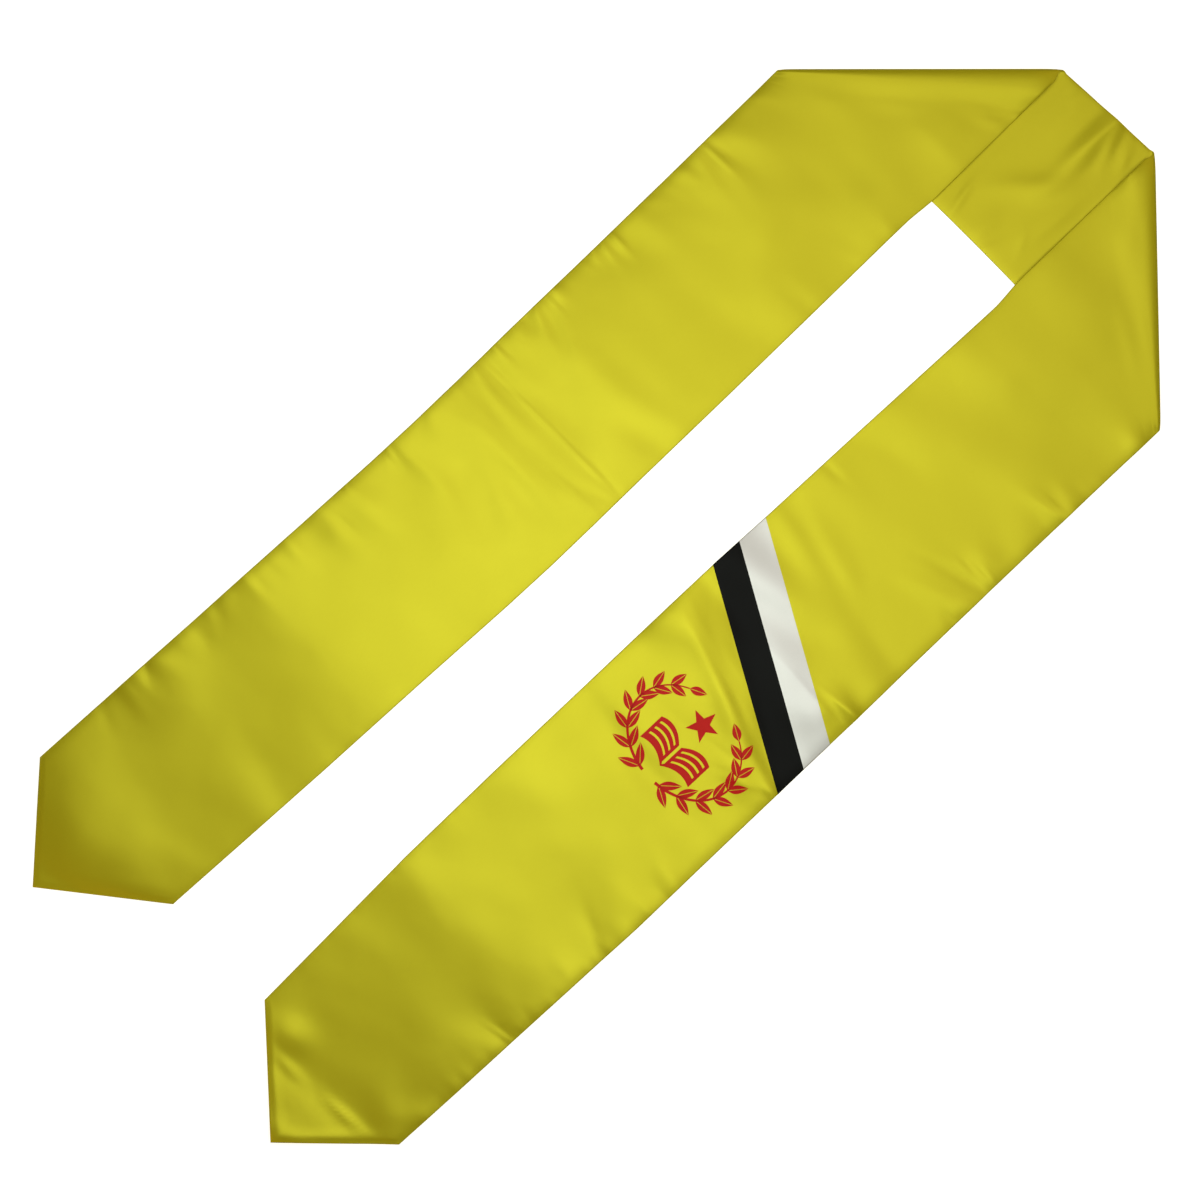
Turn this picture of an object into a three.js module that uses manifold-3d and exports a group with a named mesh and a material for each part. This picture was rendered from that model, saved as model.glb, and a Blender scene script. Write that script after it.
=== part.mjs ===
import * as THREE from 'three';
import { mergeVertices } from 'three/addons/utils/BufferGeometryUtils.js';
import Module from 'manifold-3d';

// Graduation stole laid flat with its face up. Millimetres, +Z up, +Y towards the neck and
// +X towards the printed leg. The band is one strip of double satin with a point at each end,
// sewn from a front and a back panel. Each leg turns under at a slanting fold, so the neck
// stretch between the two folds lies below the legs and shows its back.

// Cloth
const satin = 1;
const seamGap = 0.3;
const layGap = 0.3;
const waveHeight = 4.2;
const wrinkleHeight = 2.6;

// Band and points
const bandWidth = 131;
const neckGap = 79;
const pointDepth = 60.6;
const pointPlace = 0.453;

// Legs, from the line of the two points to the outer corner of each fold
const leftLength = 724;
const rightLength = 745;
const leftFoldAngle = 46.9;
const rightFoldAngle = 41.9;

// Folds and the neck stretch between them
const rollRise = 5.4;
const rollEase = 26;
const rampLength = 36;
const rampClearance = 7;
const neckLowerBow = 5.5;
const neckUpperBow = 3.8;

// Print on the right leg
const inkWall = 0.4;
const inkGap = 0.3;
const stripeWidth = 23.5;
const stripeHeight = 469;
const stripeAngle = 27.3;
const emblemWidth = 104;
const emblemTall = 82;
const emblemDrop = 15;
const emblemPlace = 0.53;

// Mesh steps
const columns = 8;
const pointRows = 4;
const legRows = 40;
const mitreRows = 7;
const rollRows = 5;
const neckSideRows = 4;
const neckMiddleRows = 8;

const yellow = new THREE.Color(0.68, 0.63, 0.04);
const black = new THREE.Color(0.012, 0.012, 0.008);
const white = new THREE.Color(0.76, 0.75, 0.7);
const red = new THREE.Color(0.58, 0.012, 0.008);

// How far each edge of a leg lies outside its straight line, in shares of the band's width.
// along runs from 0 at the shoulders of the point to 1 at the outer corner of the fold.
const leftEdges = [
  { along: 0, outer: 0.025, inner: 0.026 },
  { along: 0.25, outer: 0.002, inner: -0.008 },
  { along: 0.49, outer: -0.023, inner: -0.036 },
  { along: 0.75, outer: -0.002, inner: -0.013 },
  { along: 1, outer: 0.009, inner: 0.01 },
];
const rightEdges = [
  { along: 0, outer: 0.022, inner: 0.036 },
  { along: 0.12, outer: 0.035, inner: -0.002 },
  { along: 0.3, outer: 0.056, inner: -0.027 },
  { along: 0.56, outer: 0.03, inner: -0.036 },
  { along: 0.8, outer: 0.025, inner: -0.02 },
  { along: 1, outer: 0.011, inner: -0.008 },
];

// Soft waves and edge puckers. along is a share of the leg, across a share of the band from its
// outer edge, reach and spread the half sizes along and across the leg in shares of the band's
// width, lift a share of waveHeight, and slant the climb of the crest towards the inner edge.
const leftWaves = [
  { along: -0.03, across: 0.5, reach: 0.14, spread: 0.3, lift: 0.22, slant: 0 },
  { along: 0.045, across: 0.5, reach: 0.13, spread: 0.55, lift: 0.45, slant: 0 },
  { along: 0.139, across: 0.85, reach: 0.15, spread: 0.3, lift: 0.5, slant: 0 },
  { along: 0.173, across: 0.2, reach: 0.1, spread: 0.24, lift: 0.4, slant: 0.3 },
  { along: 0.295, across: 0.35, reach: 0.2, spread: 0.75, lift: 0.75, slant: 0.08 },
  { along: 0.363, across: 0, reach: 0.1, spread: 0.2, lift: 0.4, slant: 0 },
  { along: 0.463, across: 0, reach: 0.1, spread: 0.24, lift: 0.5, slant: 0 },
  { along: 0.53, across: 0.6, reach: 0.3, spread: 0.7, lift: 0.35, slant: 0 },
  { along: 0.612, across: 0.45, reach: 0.1, spread: 0.8, lift: 0.5, slant: 0.04 },
  { along: 0.707, across: 0.6, reach: 0.14, spread: 0.5, lift: 0.45, slant: 0 },
  { along: 0.753, across: 0, reach: 0.1, spread: 0.16, lift: 0.4, slant: 0 },
  { along: 0.833, across: 0.4, reach: 0.15, spread: 0.6, lift: 0.5, slant: -0.06 },
  { along: 0.902, across: 0, reach: 0.1, spread: 0.25, lift: 0.5, slant: 0 },
  { along: 0.949, across: 0.85, reach: 0.12, spread: 0.3, lift: 0.45, slant: 0 },
  { along: 1.053, across: 0.82, reach: 0.12, spread: 0.3, lift: 0.3, slant: 0 },
];
const rightWaves = [
  { along: -0.045, across: 0.45, reach: 0.18, spread: 0.34, lift: 0.55, slant: 0 },
  { along: 0.01, across: 0.82, reach: 0.12, spread: 0.25, lift: 0.4, slant: 0 },
  { along: 0.135, across: 0.1, reach: 0.1, spread: 0.45, lift: 0.5, slant: 0 },
  { along: 0.23, across: 0.45, reach: 0.15, spread: 0.6, lift: 0.75, slant: 0.05 },
  { along: 0.325, across: 0, reach: 0.1, spread: 0.15, lift: 0.4, slant: 0 },
  { along: 0.42, across: 0.5, reach: 0.35, spread: 0.75, lift: 0.35, slant: 0 },
  { along: 0.488, across: 0.05, reach: 0.1, spread: 0.35, lift: 0.5, slant: 0.25 },
  { along: 0.598, across: 0.08, reach: 0.1, spread: 0.35, lift: 0.45, slant: 0 },
  { along: 0.69, across: 0.5, reach: 0.12, spread: 0.8, lift: 0.5, slant: 0.18 },
  { along: 0.74, across: 0.95, reach: 0.1, spread: 0.15, lift: 0.35, slant: 0 },
  { along: 0.785, across: 0, reach: 0.1, spread: 0.28, lift: 0.6, slant: 0 },
  { along: 0.845, across: 0.28, reach: 0.11, spread: 0.35, lift: 0.5, slant: 0 },
  { along: 0.9, across: 0.83, reach: 0.12, spread: 0.3, lift: 0.5, slant: 0 },
  { along: 0.966, across: 0.15, reach: 0.1, spread: 0.25, lift: 0.4, slant: 0 },
  { along: 1.01, across: 0.85, reach: 0.12, spread: 0.25, lift: 0.3, slant: 0 },
];

// Wrinkles that fan down from the upper edge of the neck stretch. place runs from -1 to 1 over
// the open stretch, width and depth are shares of half that stretch and of the band's width,
// lean is the shift of the crest on its way down, and lift is a share of wrinkleHeight.
const neckWrinkles = [
  { place: -0.62, width: 0.2, depth: 0.3, lean: -0.1, lift: 0.5 },
  { place: -0.12, width: 0.18, depth: 0.55, lean: -0.35, lift: 1 },
  { place: 0.28, width: 0.14, depth: 0.4, lean: 0.1, lift: 0.8 },
  { place: 0.66, width: 0.16, depth: 0.45, lean: 0.12, lift: 0.6 },
];

// Values that follow from the sizes
const stack = 2 * satin + seamGap;
const floorLayer = stack / 2;
const coverRise = stack + layGap;
const up = new THREE.Vector3(0, 0, 1);
const down = new THREE.Vector3(0, 0, -1);

// cornerDrift is how far the neck end of the fold lies outside the leg's straight inner edge
const left = {
  side: -1,
  length: leftLength,
  foldAngle: leftFoldAngle,
  edges: leftEdges,
  waves: leftWaves,
  cornerDrift: 0.035,
};
const right = {
  side: 1,
  length: rightLength,
  foldAngle: rightFoldAngle,
  edges: rightEdges,
  waves: rightWaves,
  cornerDrift: -0.019,
};

const lerp = THREE.MathUtils.lerp;
const ease = (value) => THREE.MathUtils.smoothstep(value, 0, 1);

// Value of a table's column at a place along the leg, straight from row to row
function tableValue(table, along, column) {
  const next = table.findIndex((row) => row.along >= along);
  if (next < 0) return table[table.length - 1][column];
  if (next === 0) return table[0][column];
  const before = table[next - 1];
  const after = table[next];
  const share = (along - before.along) / (after.along - before.along);
  return lerp(before[column], after[column], share);
}

// Columns of the mesh, with one of them on the tip of the point
function acrossShare(column) {
  const half = columns / 2;
  if (column <= half) return (pointPlace * column) / half;
  return lerp(pointPlace, 1, (column - half) / half);
}

// Share of the leg at a height above the points
function alongShare(leg, y) {
  return (y - pointDepth) / (leg.length - pointDepth);
}

// Distance of a point of the leg from the middle of the gap between the legs
function legX(leg, y, across) {
  const along = THREE.MathUtils.clamp(alongShare(leg, y), 0, 1);
  const outer = neckGap / 2 + bandWidth * (1 + tableValue(leg.edges, along, 'outer'));
  const inner = neckGap / 2 + bandWidth * tableValue(leg.edges, along, 'inner');
  return leg.side * lerp(outer, inner, across);
}

// The fold's outline in plan: where it starts, its run and direction, and the way out of it
function foldOf(leg) {
  const corner = new THREE.Vector2(legX(leg, leg.length, 0), leg.length);
  const neckX = leg.side * (neckGap / 2 + bandWidth * leg.cornerDrift);
  const run = Math.abs(corner.x - neckX);
  const angle = THREE.MathUtils.degToRad(leg.foldAngle);
  const along = new THREE.Vector2(-leg.side * Math.cos(angle), Math.sin(angle));
  const outward = new THREE.Vector2(leg.side * Math.sin(angle), Math.cos(angle));
  return { corner, along, outward, length: run / Math.cos(angle) };
}
left.fold = foldOf(left);
right.fold = foldOf(right);

// The roll is tight at the outer corner and opens towards the neck
function rollRadius(share) {
  return (coverRise + rollRise * THREE.MathUtils.clamp(share, 0, 1)) / 2;
}

// Centre line of the roll, inside the fold's outline by the roll's radius and the cloth
function rollCentre(leg, share) {
  const { corner, along, outward, length } = leg.fold;
  const inset = rollRadius(share) + stack / 2;
  return corner.clone().addScaledVector(along, share * length).addScaledVector(outward, -inset);
}

// Height in plan of the neck stretch's threads: across 0 is its lower edge and 1 its upper
function neckY(x, across) {
  const from = rollCentre(left, across);
  const to = rollCentre(right, across);
  const share = (x - from.x) / (to.x - from.x);
  const bow = lerp(neckLowerBow, neckUpperBow, across);
  return lerp(from.y, to.y, share) + bow * 4 * share * (1 - share);
}

function legWaves(leg, y, across) {
  return leg.waves.reduce((sum, wave) => {
    const climb = wave.slant * (across - wave.across) * bandWidth;
    const crest = lerp(pointDepth, leg.length, wave.along) + climb;
    const along = (y - crest) / (wave.reach * bandWidth);
    const aside = (across - wave.across) / wave.spread;
    return sum + waveHeight * wave.lift * Math.exp(-along * along - aside * aside);
  }, 0);
}

// Height of the middle of a leg's cloth: on the floor, up the ramp on to the neck stretch, and
// up again into the roll of the fold
function legZ(leg, x, y, across) {
  const { corner, along, outward, length } = leg.fold;
  const fromCorner = new THREE.Vector2(x, y).sub(corner);
  const share = fromCorner.dot(along) / length;
  const inside = Math.max(0, -fromCorner.dot(outward) - rollRadius(share) - stack / 2);
  const rampTop = neckY(x, 0) - rampClearance;
  const cover = coverRise * ease(1 + (y - rampTop) / rampLength);
  const roll = (2 * rollRadius(share) - coverRise) * (1 - ease(inside / rollEase));
  const waves = legWaves(leg, y, across) * ease(inside / rollEase);
  return floorLayer + cover + roll + waves;
}

const openHalf = neckGap / 2 - 2 * (rollRise / 2 + stack);

function neckZ(x, across) {
  const fade = 1 - ease(Math.abs(x) / openHalf);
  const fromTop = (1 - across) * bandWidth;
  const lift = neckWrinkles.reduce((sum, wrinkle) => {
    const reach = wrinkle.depth * bandWidth;
    const crest = openHalf * (wrinkle.place + (wrinkle.lean * fromTop) / reach);
    const aside = (x - crest) / (wrinkle.width * openHalf);
    return sum + wrinkle.lift * Math.exp(-aside * aside - (fromTop / reach) ** 2);
  }, 0);
  return floorLayer + wrinkleHeight * lift * fade;
}

// A row of places on the middle of the cloth, each with the direction that the front panel faces
function rowOf(place) {
  return Array.from({ length: columns + 1 }, (_, column) => place(acrossShare(column)));
}

function legRow(leg, planAt) {
  return rowOf((across) => {
    const { x, y } = planAt(across);
    return { middle: new THREE.Vector3(x, y, legZ(leg, x, y, across)), out: up };
  });
}

// Rows of one leg from its point up to the top of the fold's roll
function legRowsOf(leg) {
  const pointTop = pointDepth + bandWidth / 4;
  const mitreFoot = leg.length - bandWidth / 5;
  const rows = [];
  for (let row = 0; row < pointRows; row += 1) {
    rows.push(legRow(leg, (across) => {
      const side = across < pointPlace ? across / pointPlace : (1 - across) / (1 - pointPlace);
      const y = lerp(pointDepth * (1 - side), pointTop, row / pointRows);
      return { x: legX(leg, y, across), y };
    }));
  }
  for (let row = 0; row < legRows; row += 1) {
    const y = lerp(pointTop, mitreFoot, row / legRows);
    rows.push(legRow(leg, (across) => ({ x: legX(leg, y, across), y })));
  }
  for (let row = 0; row <= mitreRows; row += 1) {
    const share = 1 - (1 - row / mitreRows) ** 1.5;
    rows.push(legRow(leg, (across) => {
      const top = rollCentre(leg, across);
      const x = lerp(legX(leg, mitreFoot, across), top.x, share);
      return { x, y: lerp(mitreFoot, top.y, share) };
    }));
  }
  return rows;
}

// Rows round the roll, from just past its top to just before its foot
function rollRowsOf(leg) {
  const outward = new THREE.Vector3(leg.fold.outward.x, leg.fold.outward.y, 0);
  const rows = [];
  for (let row = 1; row < rollRows; row += 1) {
    const turn = Math.PI * (0.5 - row / rollRows);
    const out = outward.clone().multiplyScalar(Math.cos(turn)).addScaledVector(up, Math.sin(turn));
    rows.push(rowOf((across) => {
      const centre = rollCentre(leg, across);
      const middle = new THREE.Vector3(centre.x, centre.y, floorLayer + rollRadius(across));
      return { middle: middle.addScaledVector(out, rollRadius(across)), out };
    }));
  }
  return rows;
}

// Rows of the neck stretch: they fan in from each fold and stand square in the open stretch
function neckRowsOf() {
  const row = (xAt) => rowOf((across) => {
    const x = xAt(across);
    return { middle: new THREE.Vector3(x, neckY(x, across), neckZ(x, across)), out: down };
  });
  const rows = [];
  for (let step = 0; step < neckSideRows; step += 1) {
    rows.push(row((across) => lerp(rollCentre(left, across).x, -openHalf, step / neckSideRows)));
  }
  for (let step = 0; step < neckMiddleRows; step += 1) {
    rows.push(row(() => lerp(-openHalf, openHalf, step / neckMiddleRows)));
  }
  for (let step = 0; step <= neckSideRows; step += 1) {
    rows.push(row((across) => lerp(openHalf, rollCentre(right, across).x, step / neckSideRows)));
  }
  return rows;
}

// A closed wall between two sheets of points that have the same rows and columns
function wallBetween(lower, upper) {
  const wide = lower[0].length;
  const count = lower.length * wide;
  const positions = [...lower.flat(), ...upper.flat()].flatMap((point) => point.toArray());
  const faces = [];
  const at = (row, column) => row * wide + column;
  const quad = (a, b, c, d) => faces.push(a, b, c, a, c, d);
  for (let row = 0; row + 1 < lower.length; row += 1) {
    for (let column = 0; column + 1 < wide; column += 1) {
      const a = at(row, column);
      const b = at(row, column + 1);
      const c = at(row + 1, column + 1);
      const d = at(row + 1, column);
      quad(count + a, count + b, count + c, count + d);
      quad(a, d, c, b);
    }
    const [first, last] = [at(row, 0), at(row, wide - 1)];
    quad(first, count + first, count + first + wide, first + wide);
    quad(last + wide, count + last + wide, count + last, last);
  }
  const end = (lower.length - 1) * wide;
  for (let column = 0; column + 1 < wide; column += 1) {
    quad(column + 1, count + column + 1, count + column, column);
    quad(end + column, count + end + column, count + end + column + 1, end + column + 1);
  }
  const geometry = new THREE.BufferGeometry();
  geometry.setAttribute('position', new THREE.Float32BufferAttribute(positions, 3));
  geometry.setIndex(faces);
  return geometry;
}

const offsetRows = (rows, distance) => rows.map((row) => (
  row.map(({ middle, out }) => middle.clone().addScaledVector(out, distance))
));
const raisedRows = (rows, distance) => rows.map((row) => (
  row.map((point) => point.clone().addScaledVector(up, distance))
));

// Solids for joining and cutting
const wasm = await Module();
wasm.setup();

function solidOf(geometry) {
  const bare = geometry.clone();
  bare.deleteAttribute('normal');
  bare.deleteAttribute('uv');
  const merged = mergeVertices(bare);
  return new wasm.Manifold(new wasm.Mesh({
    numProp: 3,
    vertProperties: new Float32Array(merged.attributes.position.array),
    triVerts: new Uint32Array(merged.index.array),
  }));
}

function geometryOf(solid) {
  const { numProp, vertProperties, triVerts } = solid.getMesh();
  const geometry = new THREE.BufferGeometry();
  geometry.setAttribute('position', new THREE.BufferAttribute(vertProperties, numProp));
  geometry.setIndex(new THREE.BufferAttribute(triVerts, 1));
  return geometry;
}

// A column over a flat outline, tall enough to cut the print out of its layer
const columnTall = 10 * (waveHeight + coverRise);
function columnOver(shape, curveSegments = 3) {
  const settings = { depth: columnTall, bevelEnabled: false, curveSegments };
  const geometry = new THREE.ExtrudeGeometry(shape, settings);
  return solidOf(geometry.translate(0, 0, -columnTall / 2));
}

// The whole strip of cloth, from the left point to the right one
const leftRows = legRowsOf(left);
const rightRows = legRowsOf(right).reverse();
const strip = [
  ...leftRows,
  ...rollRowsOf(left),
  ...neckRowsOf(),
  ...rollRowsOf(right).reverse(),
  ...rightRows,
];
const half = seamGap / 2;

// Print layer over the straight part of the right leg
const printed = rightRows.slice(mitreRows, mitreRows + legRows + 1);
const printFace = offsetRows(printed, half + satin);
const inkFoot = raisedRows(printFace, inkGap);
const inkTop = raisedRows(printFace, inkGap + inkWall);
const inkLayer = solidOf(wallBetween(inkFoot, inkTop));

// Height of the lower edge of the black stripe, which falls towards the outer edge of the leg
function stripeFoot(x) {
  const slope = Math.tan(THREE.MathUtils.degToRad(stripeAngle));
  return stripeHeight - slope * (x - neckGap / 2);
}

// Slanting stripe across the leg, above the foot of the black one by a rise
function stripe(rise) {
  const inner = 0;
  const outer = neckGap + 2 * bandWidth;
  const top = rise + stripeWidth - inkGap;
  const shape = new THREE.Shape([
    new THREE.Vector2(inner, stripeFoot(inner) + rise),
    new THREE.Vector2(outer, stripeFoot(outer) + rise),
    new THREE.Vector2(outer, stripeFoot(outer) + top),
    new THREE.Vector2(inner, stripeFoot(inner) + top),
  ]);
  return columnOver(shape).intersect(inkLayer);
}

// A pointed leaf along +Y, with its foot sunk into the stem
function leafShape(length, width, sunk) {
  const shape = new THREE.Shape();
  shape.moveTo(0, -sunk);
  shape.quadraticCurveTo(width, length * 0.45, 0, length);
  shape.quadraticCurveTo(-width, length * 0.45, 0, -sunk);
  return shape;
}

// One spray of the wreath, from the foot of the emblem round to near its top
const leafPairs = 7;
const sprayStart = 8;
const sprayEnd = 146;
function spray(side) {
  const leafLength = emblemTall * 0.19;
  const leafWidth = emblemTall * 0.07;
  const stemWall = emblemTall * 0.02;
  const radiusX = emblemWidth / 2 - leafLength * 0.62;
  const radiusY = emblemTall / 2 - leafLength * 0.55;
  const stemAt = (share) => {
    const angle = THREE.MathUtils.degToRad(lerp(sprayStart, sprayEnd, share) - 90);
    return new THREE.Vector2(side * radiusX * Math.cos(angle), radiusY * Math.sin(angle));
  };
  const stemSteps = 2 * leafPairs;
  const edge = (offset) => Array.from({ length: stemSteps + 1 }, (_, step) => {
    const share = step / stemSteps;
    const centre = stemAt(share);
    return centre.clone().addScaledVector(centre.clone().normalize(), offset);
  });
  let solid = columnOver(new THREE.Shape([...edge(stemWall / 2), ...edge(-stemWall / 2).reverse()]));
  for (let pair = 0; pair <= leafPairs; pair += 1) {
    const share = lerp(0.03, 1, pair / leafPairs);
    const foot = stemAt(share);
    const ahead = stemAt(share + 0.02).sub(stemAt(share - 0.02)).angle() - Math.PI / 2;
    const spreads = pair === leafPairs ? [0] : [-0.62, 0.62];
    spreads.forEach((spread) => {
      const leaf = columnOver(leafShape(leafLength * (1 - 0.22 * share), leafWidth, stemWall));
      const turn = THREE.MathUtils.radToDeg(ahead + spread);
      solid = solid.add(leaf.rotate([0, 0, turn]).translate([foot.x, foot.y, 0]));
    });
  }
  return solid;
}

function starShape(radius) {
  const points = Array.from({ length: 10 }, (_, step) => {
    const angle = Math.PI / 2 + (step * Math.PI) / 5;
    const reach = step % 2 ? radius * 0.42 : radius;
    return new THREE.Vector2(reach * Math.cos(angle), reach * Math.sin(angle));
  });
  return new THREE.Shape(points);
}

// An open book seen from the reader's side: two curved pages, parted at the spine down to
// their joined foot
function bookShape(width, tall) {
  const page = width / 2;
  const lift = tall * 0.34;
  const spine = width * 0.02;
  const foot = tall * 0.16;
  const shape = new THREE.Shape();
  shape.moveTo(0, 0);
  shape.quadraticCurveTo(page * 0.35, lift, page, lift * 0.4);
  shape.lineTo(page, tall - lift * 0.5);
  shape.quadraticCurveTo(page * 0.35, tall + lift * 0.1, spine, tall - lift);
  shape.lineTo(spine, foot);
  shape.lineTo(-spine, foot);
  shape.lineTo(-spine, tall - lift);
  shape.quadraticCurveTo(-page * 0.35, tall + lift * 0.1, -page, tall - lift * 0.5);
  shape.lineTo(-page, lift * 0.4);
  shape.quadraticCurveTo(-page * 0.35, lift, 0, 0);
  return shape;
}

const emblemX = legX(right, stripeHeight - emblemTall, emblemPlace);
const emblemY = stripeFoot(emblemX) - emblemDrop - emblemTall / 2;
const onLeg = (solid, rise = 0) => solid.translate([emblemX, emblemY + rise, 0]).intersect(inkLayer);

// Model
const stole = new THREE.Group();
function addPiece(name, geometry, color, roughness) {
  const material = new THREE.MeshStandardMaterial({ color, roughness, metalness: 0 });
  const mesh = new THREE.Mesh(geometry, material);
  mesh.name = name;
  stole.add(mesh);
}
const addPrint = (name, solid, color) => addPiece(name, geometryOf(solid), color, 0.45);

const frontPanel = wallBetween(offsetRows(strip, half), offsetRows(strip, half + satin));
const backPanel = wallBetween(offsetRows(strip, -half - satin), offsetRows(strip, -half));
const star = columnOver(starShape(emblemTall * 0.14));
const book = columnOver(bookShape(emblemWidth * 0.44, emblemTall * 0.34), 5);
addPiece('front_panel', frontPanel, yellow, 0.38);
addPiece('back_panel', backPanel, yellow, 0.38);
addPrint('black_stripe', stripe(0), black);
addPrint('white_stripe', stripe(stripeWidth), white);
addPrint('emblem_spray_left', onLeg(spray(-1)), red);
addPrint('emblem_spray_right', onLeg(spray(1)), red);
addPrint('emblem_star', onLeg(star, emblemTall * 0.2), red);
addPrint('emblem_book', onLeg(book, -emblemTall * 0.27), red);

// The stole stands with the middle of its box over the origin and its lowest face on the floor
const box = new THREE.Box3().setFromObject(stole);
const middle = box.getCenter(new THREE.Vector3());
stole.position.set(-middle.x, -middle.y, -box.min.z);

export default stole;
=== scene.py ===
from math import cos, exp, pi, radians, sin, sqrt, tan

import bmesh
import bpy
from mathutils import Matrix, Vector, noise


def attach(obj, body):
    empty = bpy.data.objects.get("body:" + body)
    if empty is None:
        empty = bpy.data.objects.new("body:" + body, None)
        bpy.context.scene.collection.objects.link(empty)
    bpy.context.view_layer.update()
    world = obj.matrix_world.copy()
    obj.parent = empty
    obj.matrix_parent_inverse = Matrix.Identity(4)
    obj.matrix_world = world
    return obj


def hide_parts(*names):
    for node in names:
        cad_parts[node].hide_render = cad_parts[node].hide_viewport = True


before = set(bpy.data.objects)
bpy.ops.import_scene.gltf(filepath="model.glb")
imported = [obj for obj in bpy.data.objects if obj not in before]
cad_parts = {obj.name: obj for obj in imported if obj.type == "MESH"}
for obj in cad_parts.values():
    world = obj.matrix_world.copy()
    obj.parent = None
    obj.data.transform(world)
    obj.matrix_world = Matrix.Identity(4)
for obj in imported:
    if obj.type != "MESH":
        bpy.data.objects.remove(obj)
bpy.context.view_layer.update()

print("frame loaded:", ", ".join(sorted(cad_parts)))

# Sizes are in millimetres until a mesh is placed. x runs from the middle of the gap between the
# legs towards the printed leg, and y up from the line of the two points towards the neck.
millimetre = 0.001
toFrame = Vector((-2.0241, -432.9391, 0))


def lerp(start, end, share):
    return start + (end - start) * share


def clamp(value):
    return min(1.0, max(0.0, value))


def ease(value):
    share = clamp(value)
    return share * share * (3 - 2 * share)


# The band of satin as it lies
band = {
    "width": 131.0,
    "neckGap": 79.0,
    "pointPlace": 0.453,  # share of the width, from the outer edge, where the tip stands
    "halfStack": 0.9,  # half the thickness of the doubled cloth
    "layGap": 0.2,  # air between the legs and the neck stretch under them
    "wall": 0.7,  # one layer of cloth
    "leastDepth": 0.04,  # from the middle of the doubled cloth to the inner face of a layer
    "edgeRound": 0.7,  # how far in from the seam its rim is rounded
    "rimShare": 0.1,  # share of the thickness left at the outermost rim
    "seamShare": 0.5,  # share of the thickness left beside it
    "seamReach": 5.0,  # how far in from the seam the doubled cloth is thinner
    "rollRise": 4.4,  # how much the fold opens at the neck
    "rollReach": 12.5,  # how far in from the outline its top lies there
    "rollEase": 20.0,
    "rollEnd": 0.92,  # share of the fold from which it flattens towards the seam at the neck
    "rollEndFlat": 0.65,
    "rampLength": 36.0,  # the legs come up to the neck stretch over this length
    "rampClearance": 7.0,
    "neckBow": 5.5,  # rise of the neck stretch's lower edge
    "neckSlant": 1.8,  # how far that edge also swings down and up
    "neckInset": 0.63,  # how far the upper edge stays below the corners of the folds
    "neckClear": (-41, 37),  # the wrinkles of the neck stretch end here, under the legs
    "neckFade": 12.0,
    "tuck": 1.9,  # how far the legs draw together over the neck stretch
    "tuckRise": 28.0,
    "pointSlant": 0.72,  # distance from the seam of a point for each step up from it
    "softness": 0.55,  # height of the small unevenness all over
    "softBroad": (70, 55),  # its size across and along, and that of its finer part
    "softFine": (26, 22),
    "softFineShare": 0.35,
    "settle": 0.16,  # how softly a hollow meets what is below it
    "waveReach": 2.6,  # ridges end at this many times their own size
    "edgePucker": 0.45,  # height of the small puckers along the outer seam
    "puckerReach": (9, 6),  # how far in they go from the outer and from the inner seam
    "puckerInner": 0.3,  # share of the height at the inner seam
    "puckerEvery": 7.0,
    "puckerPatch": 60.0,
}

# Each edge row is the height above the points, then the outer and the inner edge
leftLeg = {
    "side": -1,
    "length": 724.0,
    "cornerX": 171.9,
    "neckX": 44.1,
    "foldAngle": 46.9,
    "tuckFoot": 716.0,
    "shoulders": (61.9, 59.7),
    "edges": [
        (62, 173.1, 42.9), (133, 171.4, 40.9), (193, 169.8, 39.3), (273, 168.0, 37.8),
        (353, 166.3, 35.8), (393, 166.0, 35.4), (433, 166.5, 35.9), (473, 167.4, 36.7),
        (553, 168.5, 37.7), (633, 169.8, 39.1), (724, 171.4, 40.9),
    ],
}
rightLeg = {
    "side": 1,
    "length": 745.6,
    "cornerX": 172.7,
    "neckX": 37.2,
    "foldAngle": 41.9,
    "tuckFoot": 721.0,
    "shoulders": (60.4, 60.7),
    "edges": [
        (61, 173.6, 43.9), (113, 174.6, 41.8), (193, 175.6, 38.4), (273, 176.8, 37.2),
        (353, 176.0, 36.9), (433, 175.2, 36.4), (473, 175.0, 36.4), (513, 174.4, 37.2),
        (593, 173.4, 37.9), (673, 172.7, 39.0), (745.6, 172.5, 39.9),
    ],
}

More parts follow.
